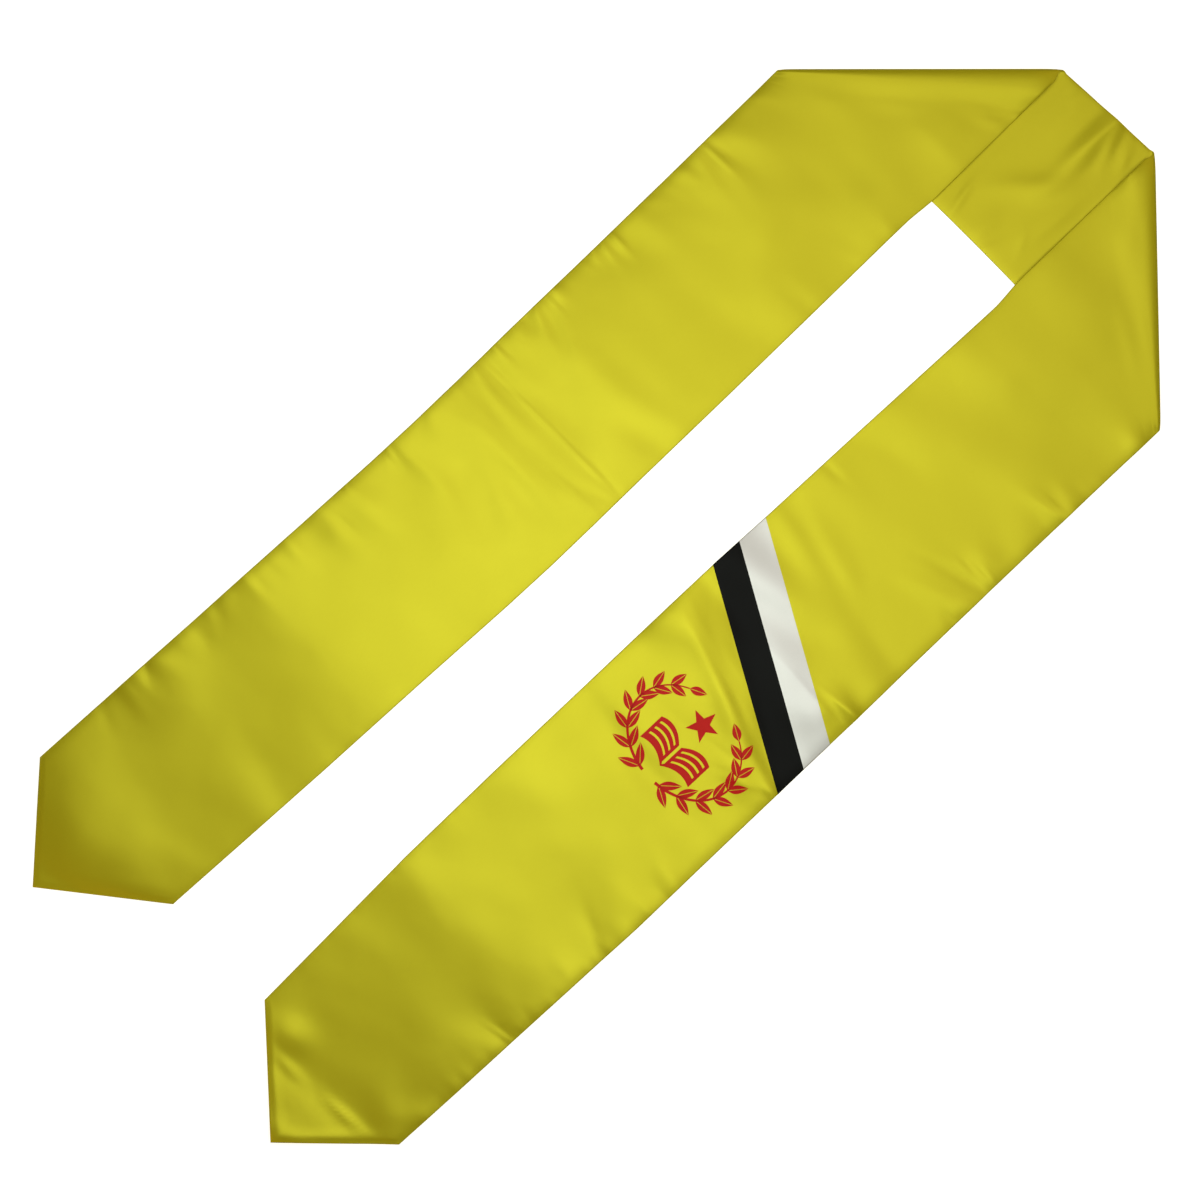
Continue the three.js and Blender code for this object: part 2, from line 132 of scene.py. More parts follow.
# Ridges (and creases, with a negative height) of the cloth. Each row is the place of the crest,
# its half length and half width, its turn in degrees from straight across, and its height.
# Most rows of the two legs come from a numeric fit to the shading of the photo. They were not
# chosen by hand, so a few dozen rows chosen by hand would be easier to read and to change.
leftLeg["waves"] = [
    (-44, 820.1, 6, 1.5, -52, 0.55), (-40, 817.4, 7, 1.5, 51, -0.13), (-58, 805, 16, 4.9, 38, 0.77),
    (-50, 802.4, 10, 3.9, 30, 0.69), (-69, 775, 28, 25, 18, 2.6), (-61, 767, 31, 6.1, 3, 0.4),
    (-103, 763, 26, 5.1, 42, 0.39), (-41, 738.8, 7, 1.6, -51, -0.2), (-135, 735, 28, 13, 17, 1.2),
    (-77, 718, 30, 13, 2, -1.6), (-59, 709, 36, 22, -42, 3.6), (-41, 705, 12, 4.4, -8, 0.55),
    (-166, 698.2, 12, 3.4, 36, -0.18), (-173, 686, 73, 27, -4, 3.4), (-43, 679, 22, 4.8, 23, 0.17),
    (-156, 676, 58, 17, 34, 1.7), (-166, 667, 23, 6.7, 39, 0.4), (-162, 659.2, 18, 3.3, 13, -0.52),
    (-155, 655.5, 14, 1.3, 4, 0.45), (-158, 654, 33, 10, 2, 2.2), (-161, 652.6, 7, 1.6, -2, -0.31),
    (-117, 651, 44, 25, 51, 2.9), (-164, 644, 25, 5.6, -2, 1.51), (-98, 641, 14, 19, 20, 1),
    (-163, 634.4, 11, 3.6, 18, 0.32), (-157, 634, 23, 8, 9, 1.4), (-42, 632, 25, 6.7, 7, -0.5),
    (-60, 627, 74, 39, 26, 1.8), (-158, 622, 10, 4.5, 18, 0.32), (-163, 607.3, 14, 3.4, 46, 0.17),
    (-59, 592, 53, 14, 15, -0.5), (-162, 591, 33, 10, 13, 0.7), (-163, 571, 10, 1.2, 0, 0.4),
    (-163, 569.6, 12, 3.4, 1, 0.89), (-139, 563, 24, 13, 38, 0.3), (-167, 561.9, 13, 3.6, -8, 1.07),
    (-165, 560.5, 7, 1.2, -8, 0.35), (-165, 558, 43, 30, 36, -2.1), (-165, 556.8, 7, 1.2, -8, 0.35),
    (-172, 554.6, 12, 2.3, -7, 0.99), (-166, 551.5, 6, 1.2, -15, 0.35),
    (-162, 544.7, 11, 2.1, 23, 0.13), (-119, 532, 105, 69, 4, 1.9), (-167, 518, 9, 4.8, 16, 0.9),
    (-163, 513.1, 11, 1.8, -1, -0.18), (-163, 511.5, 10, 1.3, 0, 0.4), (-164, 506.5, 8, 1.3, -25, 0.4),
    (-149, 501, 18, 5, -20, -0.8), (-99, 501, 167, 13, 8, 0.7), (-165, 500.5, 8, 1.3, -25, 0.35),
    (-47, 500, 23, 11, 20, -1.1), (-164, 491, 9, 5.1, -6, -1.17), (-159, 482.3, 11, 1.8, 10, 0.09),
    (-157, 477.1, 11, 3.5, 12, 0.23), (-164, 472.9, 11, 2.2, -14, -0.18),
    (-104, 468, 40, 18, -21, -1.3), (-162, 467.4, 10, 2, 3, -0.54), (-168, 463.6, 8, 2.7, 0, 0.58),
    (-117, 462, 27, 5.2, 11, -0.46), (-99, 457.6, 22, 4, 7, 0.12), (-40, 456.6, 25, 3.1, -7, -0.31),
    (-47, 455.8, 31, 2.6, 12, -0.11), (-103, 453.8, 62, 1.4, 2, 0.43), (-138, 452.3, 9, 1.9, 7, -0.46),
    (-146, 452.3, 24, 1.2, 0, 0.3), (-152, 452, 46, 6.1, -3, -1), (-146, 449, 24, 1.2, 0, 0.25),
    (-45, 447.6, 16, 3.2, 24, -0.21), (-163, 443, 30, 3.3, -6, 0.43), (-166, 439.1, 17, 4, 12, -0.41),
    (-66, 436.2, 28, 1.9, 6, 0.12), (-129, 434, 18, 7.4, -13, -0.4), (-58, 433, 22, 4.8, 6, 0.36),
    (-91, 432, 36, 12, 1, -1.7), (-110, 424.9, 31, 2.6, 0, -0.1), (-144, 421, 22, 4.4, 13, -0.12),
    (-135, 412, 101, 23, 13, 2.6), (-98, 412, 34, 11, -2, -2), (-161, 394.3, 13, 3.7, -52, -0.18),
    (-113, 393, 39, 14, -21, -2), (-166, 382, 21, 4.7, 4, 0.46), (-163, 374, 39, 6.8, 2, 0.9),
    (-163, 366, 8, 1.4, -10, 0.4), (-161, 361.6, 11, 2.3, -27, 0.23), (-164, 331.5, 11, 1.9, 11, 0.2),
    (-149, 330, 26, 14, 14, 1.7), (-165, 330, 6, 1.4, -10, 0.3), (-170, 329.6, 7, 1.7, -9, 0.4),
    (-68, 321, 88, 106, -7, 0.6), (-150, 312.2, 16, 3.4, 6, -0.31), (-165, 307, 41, 11, 0, 1.3),
    (-159, 303, 10, 5.3, -51, -0.2), (-170, 278, 20, 6.5, -2, 1.1), (-160, 257, 13, 4.1, 5, -0.3),
    (-161, 251, 41, 24, 24, 1.2), (-161, 245.6, 10, 2.2, 2, -0.17), (-109, 240, 255, 37, 7, 2),
    (-167, 240, 22, 5.9, 1, 0.5), (-166, 224, 10, 4.3, 3, -0.23), (-58, 218, 24, 9, -3, 0.3),
    (-162, 211.5, 15, 3.9, -33, -0.16), (-163, 196, 13, 7.4, -14, -0.6), (-35, 189, 62, 19, -16, 0.9),
    (-58, 162, 43, 9, -14, -0.2), (-176, 159, 21, 8, 19, 1.1), (-149, 158, 28, 21, -47, 1.5),
    (-168, 152.9, 10, 2.4, -35, -0.25), (-181, 146, 22, 6.1, -7, 1.5), (-53, 142, 52, 16, 7, 0.5),
    (-172, 135, 21, 6.6, -7, 1), (-171, 115, 16, 4.7, -24, -0.37), (-57, 86, 29, 11, 22, 0.3),
    (-90, 56, 84, 32, -13, 2.3), (-125, 44, 51, 21, -36, 1.7), (-86, 35, 39, 6.1, 39, 0.5),
    (-83, 24, 81, 15, 35, -2.2),
]
rightLeg["waves"] = [
    (73, 822, 25, 21, -37, 3.5), (119, 769, 27, 6.4, -28, 0.5), (146, 767.3, 31, 2.2, -29, 1.63),
    (70, 758, 49, 32, 4, 3.5), (185, 734, 20, 7.9, 15, 3.6), (71, 710, 56, 19, 3, 2.1),
    (54, 688, 56, 34, 21, 3.6), (65, 688, 45, 14, 6, 0.9), (174, 667, 17, 5.5, -15, 1.33),
    (135, 662, 221, 22, 22, 1.9), (167, 661, 12, 1.3, 6, 0.42), (171, 659, 25, 6.5, 12, 1.7),
    (164, 657.3, 12, 1.3, 14, 0.36), (166, 629, 27, 14, -33, 1.1), (157, 604, 13, 9, 6, 1.1),
    (168, 598.5, 11, 1.6, -15, 0.22), (167, 598.2, 9, 1.2, -6, 0.36), (65, 595, 30, 19, 5, -1.6),
    (166, 594.6, 10, 1.2, 2, 0.36), (158, 591.3, 11, 1.8, -4, -0.27), (163, 590.8, 16, 1.3, 4, 0.42),
    (163, 586.9, 32, 3.9, 19, -0.96), (163, 570, 44, 8, 24, 1), (44, 569.7, 10, 3, 4, -0.56),
    (173, 558.3, 7, 2.6, -7, -2.1), (66, 530, 50, 8, -12, -1.2), (110, 527, 187, 23, 1, -2.2),
    (81, 527, 58, 16, -3, 3.2), (149, 499, 93, 13, -13, 0.8), (63, 489, 46, 15, 9, 3.1),
    (131, 475, 56, 16, 26, 1.8), (170, 470, 16, 6.5, -4, 2.7), (164, 470, 16, 1.7, 8, 0.5),
    (154, 461, 13, 15, -9, 1.8), (154, 459.2, 40, 2.1, -1, 0.33), (72, 455, 72, 10, -7, -2.2),
    (142, 449, 51, 16, -2, 3.6), (62, 446, 39, 9, -31, -2.2), (69, 445, 23, 4.2, -21, -0.39),
    (85, 443, 18, 7.3, -14, -2.2), (45, 439, 206, 25, -65, 1.5), (61, 433, 67, 13, 26, 1.1),
    (71, 431, 68, 28, -42, 3.6), (91, 430, 70, 11, -29, 3.6), (94, 430, 52, 5.8, -19, -2.2),
    (87, 427.2, 41, 3.4, -16, -0.66), (100, 427, 22, 4.3, -10, 0.37), (129, 419, 17, 5.1, -20, 1.38),
    (137, 409.6, 41, 2.2, -22, -0.1), (29, 405, 15, 11, -43, -1), (169, 398, 26, 4.7, -14, 1.38),
    (163, 396, 28, 2.5, 22, 0.26), (124, 390.5, 39, 2.1, 10, -0.12), (158, 389, 18, 2, 30, 0.45),
    (149, 388, 20, 10, -11, 1.1), (94, 347, 73, 10, -2, -1.2), (176, 307, 29, 9, -14, 1.3),
    (177, 287, 17, 7.9, 13, 0.9), (61, 284, 31, 25, -8, 1.3), (184, 260, 44, 19, -34, 2.4),
    (134, 255, 22, 28, 29, -1), (151, 251, 18, 4.8, -21, -0.39), (176, 239.9, 9, 2.5, -7, -0.28),
    (173, 235.6, 11, 2, 6, 0.11), (37, 223, 28, 19, 15, 0.8), (181, 215, 25, 7.5, -13, 1),
    (97, 214, 56, 25, 11, 1.3), (179, 197, 12, 5.1, 24, 0.52), (47, 194, 25, 11, -21, 0.4),
    (113, 189, 332, 22, 9, 1.8), (173, 173.8, 11, 2, 1, -0.12), (153, 173, 30, 12, 0, 0.7),
    (169, 160, 10, 5.1, 8, -0.78), (168, 158.8, 10, 1.5, 12, 0.5), (163, 142, 17, 14, 16, 0.6),
    (61, 140, 70, 14, 17, 0.2), (149, 125, 60, 30, -17, 1.4), (174, 86, 17, 9, 44, 1),
    (159, 65, 25, 12, -35, 1.3), (80, 62, 27, 22, 28, -2.2), (70, 55, 20, 13, 29, 2.5),
    (101, 48, 109, 12, 4, -1.1), (136, 47.5, 18, 3, 2, 0.55), (136, 47, 18, 3.2, 1, 0.48),
    (84, 42.5, 14, 2.8, 5, 0.5), (89, 41.5, 11, 2.8, 6, 0.34), (140, 33.1, 38, 3.9, 48, 0.35),
    (82, 33, 44, 3.2, -37, 0.39), (148, 20, 26, 29, 68, 1.5), (81, 12, 67, 29, -81, 3.6),
    (117, 7, 55, 9, 18, 1.4), (111, 7, 45, 22, 31, 2.5),
]

# Wrinkles of the neck stretch, which fan down from its upper edge
neckWaves = [
    (4, 846, 40, 9, 92, 3.3), (4.5, 856, 22, 2.6, 88, 0.4), (14, 850, 18, 4, -67, 1.0),
    (25, 852, 15, 3.8, -54, 0.8), (-20, 846, 30, 8, 96, 0.8), (-26, 854, 7, 2, -35, 0.5),
    (-33, 858, 6, 2.4, -60, 0.4), (-2, 792, 27, 8, 47, 1.3), (22, 786, 30, 10, 80, 1.0),
    (-27.5, 753, 15, 3, -75, 0.9), (-4, 752, 13, 7, 100, 0.9), (20, 764, 12, 2.5, -60, 0.4),
    (8, 744, 9, 3, 70, 0.5),
]


def rowValue(rows, y, column):
    if y <= rows[0][0]:
        return rows[0][column]
    for before, after in zip(rows, rows[1:]):
        if y <= after[0]:
            return lerp(before[column], after[column], (y - before[0]) / (after[0] - before[0]))
    return rows[-1][column]


def legX(leg, y, across):
    outer = rowValue(leg["edges"], y, 1)
    inner = rowValue(leg["edges"], y, 2)
    return leg["side"] * lerp(outer, inner, across)


for leg in (leftLeg, rightLeg):  # the fold: its outer corner, its run and the way out of it
    angle = radians(leg["foldAngle"])
    leg["corner"] = Vector((leg["side"] * leg["cornerX"], leg["length"]))
    leg["along"] = Vector((-leg["side"] * cos(angle), sin(angle)))
    leg["outward"] = Vector((leg["side"] * sin(angle), cos(angle)))
    leg["run"] = (leg["cornerX"] - leg["neckX"]) / cos(angle)

coverRise = 2 * band["halfStack"] + band["layGap"]


def rollOpen(share):
    return 1 - band["rollEndFlat"] * ease((share - band["rollEnd"]) / (1 - band["rollEnd"]))


def rollRadius(share):
    return (coverRise + band["rollRise"] * sqrt(clamp(share)) * rollOpen(share)) / 2


def rollReach(share):
    return lerp(coverRise / 2, band["rollReach"] * rollOpen(share), clamp(share))


def cornerLine(x):
    # the upper edge of the neck stretch runs straight from corner to corner
    left, right = (leg["corner"] + leg["along"] * leg["run"] for leg in (leftLeg, rightLeg))
    return lerp(left.y, right.y, (x - left.x) / (right.x - left.x)) - band["neckInset"]


def rollPlace(leg, across, turn):
    # a thread winds round the roll at its own angle: turn is 90 degrees on top and -90 below
    arc = (rollReach(across) + rollRadius(across)) / 2 * turn
    along = across * leg["run"] - arc * tan(radians(leg["foldAngle"]))
    reach, radius = rollReach(along / leg["run"]), rollRadius(along / leg["run"])
    inset = reach * (1 - cos(turn)) + band["halfStack"]
    middle = (leg["corner"] + leg["along"] * along - leg["outward"] * inset).to_3d()
    middle.y = lerp(middle.y, cornerLine(middle.x), across ** 10 * ease(-3 * turn / pi))
    middle.z = band["halfStack"] + radius * (1 + sin(turn))
    out = leg["outward"].to_3d() * radius * cos(turn) + Vector((0, 0, reach * sin(turn)))
    return middle, out.normalized()


def rollTop(leg, across):
    return rollPlace(leg, across, pi / 2)[0]


def rollFoot(leg, across):
    return rollPlace(leg, across, -pi / 2)[0]


def neckY(x, across):
    start = rollFoot(leftLeg, across)
    end = rollFoot(rightLeg, across)
    share = (x - start.x) / (end.x - start.x)
    bow = band["neckBow"] * (1 - across) * 4 * share * (1 - share)
    slant = band["neckSlant"] * (1 - across) * sin(2 * pi * clamp(share))
    return lerp(start.y, end.y, share) + bow + slant


def waveHeight(waves, x, y):
    total = 0.0
    for crestX, crestY, long, wide, turn, height in waves:
        reach = band["waveReach"] * max(long, wide)
        if abs(y - crestY) > reach or abs(x - crestX) > reach:
            continue
        c, s = cos(radians(turn)), sin(radians(turn))
        run = ((x - crestX) * c + (y - crestY) * s) / long
        off = ((y - crestY) * c - (x - crestX) * s) / wide
        total += height * exp(-run * run - off * off)
    return total


def softHeight(x, y):
    wide, tall = band["softBroad"]
    broad = noise.noise(Vector((x / wide, y / tall, 3.1)))
    wide, tall = band["softFine"]
    fine = noise.noise(Vector((x / wide, y / tall, 8.7)))
    return band["softness"] * (0.75 + broad + band["softFineShare"] * fine)


def puckerHeight(leg, x, y, across):
    fromOuter = across * band["width"]
    fromInner = (1 - across) * band["width"]
    outerReach, innerReach = band["puckerReach"]
    fade = exp(-((fromOuter / outerReach) ** 2))
    fade += band["puckerInner"] * exp(-((fromInner / innerReach) ** 2))
    ripple = noise.noise(Vector((leg["side"] * 7, y / band["puckerEvery"], 0.4))) + 0.6
    patches = clamp(0.5 + 1.6 * noise.noise(Vector((leg["side"] * 3, y / band["puckerPatch"], 5.2))))
    return band["edgePucker"] * ripple * patches * fade


def settle(lifts):
    # the cloth never goes below what it lies on, and meets it softly
    return 0.5 * (lifts + sqrt(lifts * lifts + band["settle"]))


def legHeight(leg, x, y, across):
    fromCorner = Vector((x, y)) - leg["corner"]
    share = fromCorner.dot(leg["along"]) / leg["run"]
    inside = max(0.0, -fromCorner.dot(leg["outward"]) - rollReach(share) - band["halfStack"])
    rampTop = neckY(x, 0) - band["rampClearance"]
    cover = coverRise * ease(1 + (y - rampTop) / band["rampLength"])
    calm = ease(inside / band["rollEase"])
    roll = (2 * rollRadius(share) - coverRise) * (1 - calm)
    lifts = waveHeight(leg["waves"], x, y) + softHeight(x, y) + puckerHeight(leg, x, y, across)
    return band["halfStack"] + cover + roll + settle(lifts) * calm


def neckHeight(x, y):
    left, right = band["neckClear"]
    fade = ease((x - left) / band["neckFade"]) * ease((right - x) / band["neckFade"])
    lifts = waveHeight(neckWaves, x, y) + 0.5 * softHeight(x, y)
    return band["halfStack"] + settle(lifts) * fade


# The strip as rows of places, from the left point round to the right one
grid = {
    "edgeColumns": (0, 0.2, 0.5, 1.0, 1.8, 3.4),  # millimetres in from each edge
    "innerColumns": 34,
    "shoulder": 60.6,  # the height at which the points begin
    "pointRows": 34,
    "pointCrowding": 1.4,  # more rows close to the tip
    "legRows": 380,
    "mitreRows": 60,
    "mitreCrowding": 1.3,  # more rows close to the fold
    "rollRows": 16,
    "neckSideRows": 30,
    "neckSideEnd": 3.0,  # from the fold's end to the first middle row
    "neckMiddleRows": 44,
}


def columnShares():
    nearEdge = [inset / band["width"] for inset in grid["edgeColumns"]]
    first, last = nearEdge[-1], 1 - nearEdge[-1]
    count = grid["innerColumns"]
    half = round(count * (band["pointPlace"] - first) / (last - first))
    shares = list(nearEdge)
    shares += [lerp(first, band["pointPlace"], step / half) for step in range(1, half + 1)]
    rest = count - half
    shares += [lerp(band["pointPlace"], last, step / rest) for step in range(1, rest + 1)]
    return shares + [1 - share for share in reversed(nearEdge[:-1])]


shares = columnShares()
upward = Vector((0, 0, 1))


def pointFoot(leg, across):
    if across < band["pointPlace"]:
        return leg["shoulders"][0] * (1 - across / band["pointPlace"])
    return leg["shoulders"][1] * (across - band["pointPlace"]) / (1 - band["pointPlace"])


def legPlace(leg, x, y, across, fromTip=1e3):
    middle = Vector((x, y, legHeight(leg, x, y, across)))
    edge = min(across * band["width"], (1 - across) * band["width"], fromTip)
    return {"middle": middle, "out": upward, "edge": edge}


def tuckAt(leg, y):
    # the inner edge draws in where the leg lies over the neck stretch, up to the fold
    foot = leg["tuckFoot"]
    top = leg["corner"].y + leg["along"].y * leg["run"]
    return band["tuck"] * ease((y - foot) / band["tuckRise"]) * (1 - clamp((y - foot) / (top - foot)))


def legRowsOf(leg):
    pointTop = grid["shoulder"] + band["width"] / 4
    mitreFoot = leg["length"] - band["width"] / 5
    rows = []
    for row in range(grid["pointRows"]):
        share = (row / grid["pointRows"]) ** grid["pointCrowding"]
        places = []
        for across in shares:
            foot = pointFoot(leg, across)
            y = lerp(foot, pointTop, share)
            fromTip = band["pointSlant"] * (y - foot)
            places.append(legPlace(leg, legX(leg, y, across), y, across, fromTip))
        rows.append(places)
    for row in range(grid["legRows"]):
        y = lerp(pointTop, mitreFoot, row / grid["legRows"])
        rows.append([legPlace(leg, legX(leg, y, across), y, across) for across in shares])
    for row in range(grid["mitreRows"] + 1):
        share = 1 - (1 - row / grid["mitreRows"]) ** grid["mitreCrowding"]
        places = []
        for across in shares:
            top = rollTop(leg, across)
            x = lerp(legX(leg, mitreFoot, across), top.x, share)
            y = lerp(mitreFoot, top.y, share)
            x -= leg["side"] * tuckAt(leg, y) * across ** 3
            places.append(legPlace(leg, x, y, across))
        rows.append(places)
    return rows


def edgeOf(across):
    return min(across, 1 - across) * band["width"]


def rollRowsOf(leg):
    rows = []
    for row in range(1, grid["rollRows"]):
        places = []
        for across in shares:
            middle, out = rollPlace(leg, across, pi * (0.5 - row / grid["rollRows"]))
            places.append({"middle": middle, "out": out, "edge": edgeOf(across)})
        rows.append(places)
    return rows


def neckRow(xAt):
    places = []
    for across in shares:
        x = xAt(across)
        y = neckY(x, across)
        middle = Vector((x, y, neckHeight(x, y)))
        places.append({"middle": middle, "out": -upward, "edge": edgeOf(across)})
    return places


def neckRowsOf():
    side, middle = grid["neckSideRows"], grid["neckMiddleRows"]
    left = rollFoot(leftLeg, 1).x + grid["neckSideEnd"]
    right = rollFoot(rightLeg, 1).x - grid["neckSideEnd"]
    rows = []
    for step in range(side):
        rows.append(neckRow(lambda a: lerp(rollFoot(leftLeg, a).x, left, step / side)))
    for step in range(middle):
        rows.append(neckRow(lambda a: lerp(left, right, step / middle)))
    for step in range(side + 1):
        rows.append(neckRow(lambda a: lerp(right, rollFoot(rightLeg, a).x, step / side)))
    return rows


leftRows = legRowsOf(leftLeg)
rightRows = legRowsOf(rightLeg)[::-1]
strip = leftRows + rollRowsOf(leftLeg) + neckRowsOf() + rollRowsOf(rightLeg)[::-1] + rightRows
for column, across in enumerate(shares):  # length of each thread from the left point
    length = pointFoot(leftLeg, across)
    for row, places in enumerate(strip):
        place = places[column]
        if row:
            length += (place["middle"] - strip[row - 1][column]["middle"]).length
        place["thread"] = (across * band["width"], length)
print("strip laid out:", len(strip), "rows of", len(shares))


# Mesh helpers
def thickness(edge):
    share = min(1.0, edge / band["edgeRound"])
    fullness = lerp(band["seamShare"], 1, ease(edge / band["seamReach"]))
    rounding = sqrt(1 - (1 - share) ** 2)
    return max(band["rimShare"], rounding * fullness) * band["halfStack"]


def surfacePoint(place, facing, inner):
    outer = thickness(place["edge"])
    distance = max(band["leastDepth"], outer - band["wall"]) if inner else outer
    return place["middle"] + place["out"] * facing * distance


sharpAngle = 50  # degrees between faces
indexRange = 2 ** 17  # above the number of vertices of any piece


def faceOrder(face):
    low, second, *others = sorted(vertex.index for vertex in face.verts)
    return (low * indexRange + second) * indexRange + others[-1]


def finishPiece(bm, name, replaced, material):
    place = Matrix.Scale(millimetre, 4) @ Matrix.Translation(toFrame)
    bmesh.ops.transform(bm, matrix=place, verts=bm.verts)
    if bm.calc_volume(signed=True) < 0:
        bmesh.ops.reverse_faces(bm, faces=bm.faces)
    bm.verts.index_update()
    bm.faces.sort(key=faceOrder)  # solidify leaves the faces of the rim in an order that varies
    mesh = bpy.data.meshes.new(name)
    bm.to_mesh(mesh)
    bm.free()
    mesh.shade_smooth()
    mesh.set_sharp_from_angle(angle=radians(sharpAngle))
    piece = bpy.data.objects.new(name, mesh)
    bpy.context.scene.collection.objects.link(piece)
    mesh.materials.append(material)
    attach(piece, "root")
    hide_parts(replaced)
    print(name, "made:", sum(len(face.vertices) - 2 for face in mesh.polygons), "triangles")
    return piece


def gridOver(rows, layered):
    # a flat grid with one vertex for each place, in two layers where it gets a thickness
    bm = bmesh.new()
    wide, tall = len(shares) - 1, len(rows) - 1
    bmesh.ops.create_grid(bm, x_segments=wide, y_segments=tall, size=0.5)
    bmesh.ops.scale(bm, vec=(wide, tall, 1), verts=bm.verts)
    bmesh.ops.translate(bm, vec=(wide / 2, tall / 2, 0), verts=bm.verts)
    if layered:
        bmesh.ops.solidify(bm, geom=bm.faces[:], thickness=1.0)
    uvMap = bm.loops.layers.uv.new("cloth")
    places = {}
    for vertex in bm.verts:
        places[vertex] = (rows[round(vertex.co.y)][round(vertex.co.x)], abs(vertex.co.z) > 0.5)
    for face in bm.faces:
        for loop in face.loops:
            across, along = places[loop.vert][0]["thread"]
            loop[uvMap].uv = (across * millimetre, along * millimetre)
    return bm, places


# Materials
class Wire:
    # an output socket, which can stand in sums with other sockets and with numbers
    def __init__(self, tree, socket=None):
        self.tree = tree
        self.socket = socket

    def node(self, kind, settings=None, inputs=None, output=0):
        made = self.tree.nodes.new("ShaderNode" + kind)
        for name, value in (settings or {}).items():
            setattr(made, name, value)
        for name, value in (inputs or {}).items():
            if isinstance(value, Wire):
                self.tree.links.new(value.socket, made.inputs[name])
            else:
                made.inputs[name].default_value = value
        return Wire(self.tree, made.outputs[output])

    def maths(self, operation, first, second=0.0):
        return self.node("Math", {"operation": operation}, {0: first, 1: second})

    def __add__(self, other):
        return self.maths("ADD", self, other)

    def __sub__(self, other):
        return self.maths("SUBTRACT", self, other)

    def __mul__(self, other):
        return self.maths("MULTIPLY", self, other)

    def __rsub__(self, other):
        return self.maths("SUBTRACT", other, self)

    __radd__ = __add__
    __rmul__ = __mul__


finishes = {
    "yellowSatin": {
        "colour": (0.69, 0.62, 0.005),
        "deep": (0.63, 0.555, 0.004),
        "metallic": 0.5,
        "roughness": 0.45,
        "specular": 0.5,
    },
    "blackDye": {
        "colour": (0.004, 0.004, 0.003),
        "deep": (0.003, 0.003, 0.002),
        "metallic": 0.0,
        "roughness": 0.5,
        "specular": 0.1,
    },
    "whiteDye": {
        "colour": (0.81, 0.79, 0.745),
        "deep": (0.74, 0.725, 0.69),
        "metallic": 0.5,
        "roughness": 0.45,
        "specular": 0.5,
    },
    "redDye": {
        "colour": (0.7, 0.011, 0.006),
        "deep": (0.62, 0.009, 0.005),
        "metallic": 0.1,
        "roughness": 0.46,
        "specular": 0.15,
    },
}
weave = {
    "threadScale": (2400, 190, 1),  # threads for each metre across and along
    "twillScale": (900, 900, 1),
    "twillWave": 0.32,
    "twillShare": 0.25,
    "broadScale": 16.0,  # cloudy unevenness of the dye and the gloss
    "broadShare": 0.45,
    "threadShare": 0.55,
    "glossSpread": 0.1,
    "crumpleScale": 42,
    "threadDepth": 0.000007,
    "crumpleDepth": 0.00016,
    "sheen": 0.04,
    "sheenRoughness": 0.4,
    "indexOfRefraction": 1.5,
}


def satinFinish(name):
    finish = finishes[name]
    material = bpy.data.materials.new(name)
    material.use_nodes = True
    tree = material.node_tree
    shader = tree.nodes["Principled BSDF"]
    start = Wire(tree)
    cloth = start.node("UVMap", {"uv_map": "cloth"})
    threadPlace = start.node("Mapping", inputs={"Vector": cloth, "Scale": weave["threadScale"]})
    threads = start.node("TexNoise", inputs={"Vector": threadPlace, "Scale": 1.0, "Detail": 2.0})
    twillPlace = start.node("Mapping", inputs={"Vector": cloth, "Scale": weave["twillScale"]})
    twillInputs = {"Vector": twillPlace, "Scale": weave["twillWave"]}
    twill = start.node("TexWave", {"bands_direction": "DIAGONAL"}, twillInputs, 1)
    broadInputs = {"Vector": cloth, "Scale": weave["broadScale"], "Detail": 3.0}
    broad = start.node("TexNoise", inputs=broadInputs)
    crumpleInputs = {"Vector": cloth, "Scale": weave["crumpleScale"], "Detail": 3.0}
    crumple = start.node("TexNoise", inputs=crumpleInputs)
    depth = weave["threadShare"] * threads + weave["broadShare"] * broad
    colour = start.node(
        "Mix",
        {"data_type": "RGBA"},
        {0: depth, 6: (*finish["deep"], 1), 7: (*finish["colour"], 1)},
        2,
    )
    height = (threads + weave["twillShare"] * twill) * weave["threadDepth"]
    height = height + crumple * weave["crumpleDepth"]
    bump = start.node("Bump", inputs={"Height": height, "Distance": 1.0, "Strength": 1.0})
    tree.links.new(colour.socket, shader.inputs["Base Color"])
    spread = weave["glossSpread"]
    roughness = finish["roughness"] - spread / 2 + spread * broad
    tree.links.new(roughness.socket, shader.inputs["Roughness"])
    tree.links.new(bump.socket, shader.inputs["Normal"])
    shader.inputs["Metallic"].default_value = finish["metallic"]
    shader.inputs["IOR"].default_value = weave["indexOfRefraction"]
    shader.inputs["Specular IOR Level"].default_value = finish["specular"]
    shader.inputs["Sheen Weight"].default_value = weave["sheen"]
    shader.inputs["Sheen Roughness"].default_value = weave["sheenRoughness"]
    return material


materials = {name: satinFinish(name) for name in finishes}
print("materials made:", ", ".join(materials))


# The two panels of satin
def makePanel(name, replaced, facing):
    bm, places = gridOver(strip, True)
    for vertex, (place, inner) in places.items():
        vertex.co = surfacePoint(place, facing, inner)
    return finishPiece(bm, name, replaced, materials["yellowSatin"])


frontSatin = makePanel("frontSatin", "front_panel", 1)
backSatin = makePanel("backSatin", "back_panel", -1)

# Print on the right leg
stripes = {
    "height": 469.0,  # of the black stripe's lower edge at the inner seam
    "width": 23.5,
    "angle": 27.3,
    "lift": 0.1,  # above the satin
    "skin": 0.06,
    "beyond": 10.0,  # how far past the seams its strip of cloth is looked for
    "margin": 6.0,
}
stripeSlope = tan(radians(stripes["angle"]))


